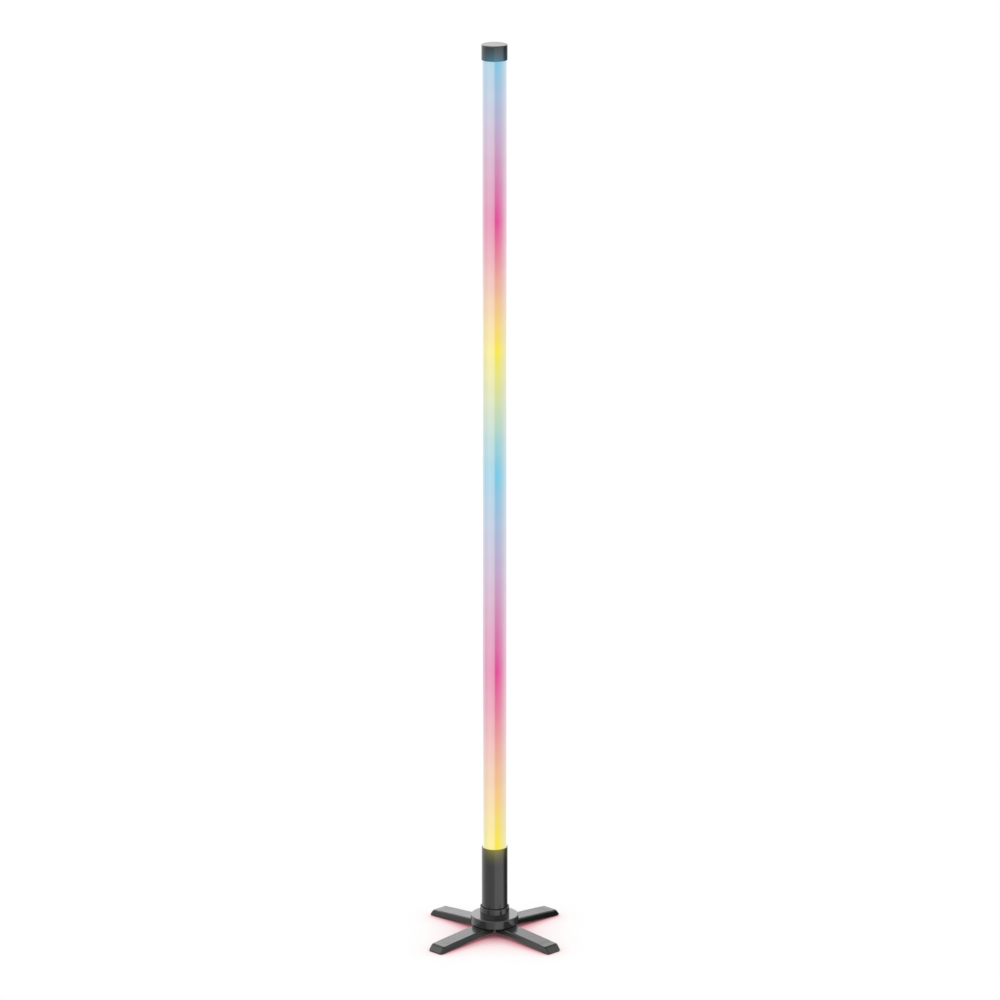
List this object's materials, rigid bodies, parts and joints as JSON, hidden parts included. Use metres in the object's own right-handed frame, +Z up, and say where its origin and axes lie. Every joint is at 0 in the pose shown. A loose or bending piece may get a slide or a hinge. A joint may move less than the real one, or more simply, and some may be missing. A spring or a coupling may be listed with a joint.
{
  "type": "led light tube",
  "caption": "Upright tubular colour light on a slim battery handle, stood in the round socket of a weighted base with folding flat legs.",
  "frame": {"origin": "on the floor, on the axis of the tube", "axes": "+Z up along the tube, -Y the front, with the push buttons and the charging socket on the +Y side"},
  "size_m": [0.1722, 0.1722, 1.2],
  "materials": {
    "black_plastic": "satin moulded black",
    "leg_plastic": "satin moulded black",
    "black_rubber": "matte moulded rubber",
    "diffuser": "frosted, lit from inside with a slow run of colours",
    "white_plastic": "moulded white",
    "led_board": "white solder mask with small square LEDs",
    "aluminium_bar": "mill finish",
    "bright_steel": "zinc plated",
    "black_steel": "black paint",
    "cast_weight": "raw casting",
    "brass": "plain",
    "circuit_board": "green solder mask",
    "cell_sleeve": "plain coloured sleeve over the can",
    "red_insulation": "soft insulation",
    "black_insulation": "soft insulation",
    "clear_plastic": "clear light pipe"
  },
  "bodies": {
    "base": {"hub_cover": "black_plastic", "hub_weight": "cast_weight", "hub_base_plate": "black_steel", "cover_screw_1": "bright_steel", "cover_screw_2": "bright_steel", "cover_screw_3": "bright_steel", "cover_screw_4": "bright_steel", "pivot_screw_front_left": "bright_steel", "pivot_screw_front_right": "bright_steel", "pivot_screw_rear_left": "bright_steel", "pivot_screw_rear_right": "bright_steel", "pivot_washer_front_left": "brass", "pivot_washer_front_right": "brass", "pivot_washer_rear_left": "brass", "pivot_washer_rear_right": "brass"},
    "leg_front_left": {"leg_front_left": "leg_plastic", "foot_sole_front_left": "black_rubber"},
    "leg_front_right": {"leg_front_right": "leg_plastic", "foot_sole_front_right": "black_rubber"},
    "leg_rear_left": {"leg_rear_left": "leg_plastic", "foot_sole_rear_left": "black_rubber"},
    "leg_rear_right": {"leg_rear_right": "leg_plastic", "foot_sole_rear_right": "black_rubber"},
    "socket": {"socket_liner": "black_rubber"},
    "tube": {"handle_shell": "black_plastic", "handle_end_cap": "black_plastic", "end_cap_screw_1": "bright_steel", "end_cap_screw_2": "bright_steel", "battery_cell": "cell_sleeve", "battery_cradle": "white_plastic", "battery_contact_lower": "brass", "battery_contact_upper": "brass", "control_board": "circuit_board", "usb_socket": "bright_steel", "status_light_pipe": "clear_plastic", "led_lead_front": "red_insulation", "led_lead_back": "black_insulation", "bottom_plug": "white_plastic", "diffuser_tube": "diffuser", "led_carrier": "aluminium_bar", "led_strip_front": "led_board", "led_strip_back": "led_board", "top_plug": "white_plastic", "top_cap": "black_plastic"},
    "power_button": {"power_button": "black_rubber"},
    "mode_button": {"mode_button": "black_rubber"}
  },
  "joints": [
    {"name": "leg_front_left_fold", "type": "hinge", "parent": "base", "child": "leg_front_left", "pos_m": [-0.013, -0.013, 0.0152], "axis": [0, 0, -1], "range_deg": [0, 45]},
    {"name": "leg_front_right_fold", "type": "hinge", "parent": "base", "child": "leg_front_right", "pos_m": [0.013, -0.013, 0.0152], "axis": [0, 0, 1], "range_deg": [0, 45]},
    {"name": "leg_rear_left_fold", "type": "hinge", "parent": "base", "child": "leg_rear_left", "pos_m": [-0.013, 0.013, 0.0152], "axis": [0, 0, 1], "range_deg": [0, 45]},
    {"name": "leg_rear_right_fold", "type": "hinge", "parent": "base", "child": "leg_rear_right", "pos_m": [0.013, 0.013, 0.0152], "axis": [0, 0, -1], "range_deg": [0, 45]},
    {"name": "socket_turn", "type": "hinge", "parent": "base", "child": "socket", "pos_m": [0, 0, 0.0263], "axis": [0, 0, 1], "continuous": true},
    {"name": "tube_lift", "type": "slide", "parent": "socket", "child": "tube", "axis": [0, 0, 1], "range_m": [0, 0.08]},
    {"name": "power_button_press", "type": "slide", "parent": "tube", "child": "power_button", "axis": [0, -1, 0], "range_m": [0, 0.0008], "stiffness_N_per_m": 1500},
    {"name": "mode_button_press", "type": "slide", "parent": "tube", "child": "mode_button", "axis": [0, -1, 0], "range_m": [0, 0.0008], "stiffness_N_per_m": 1500}
  ]
}
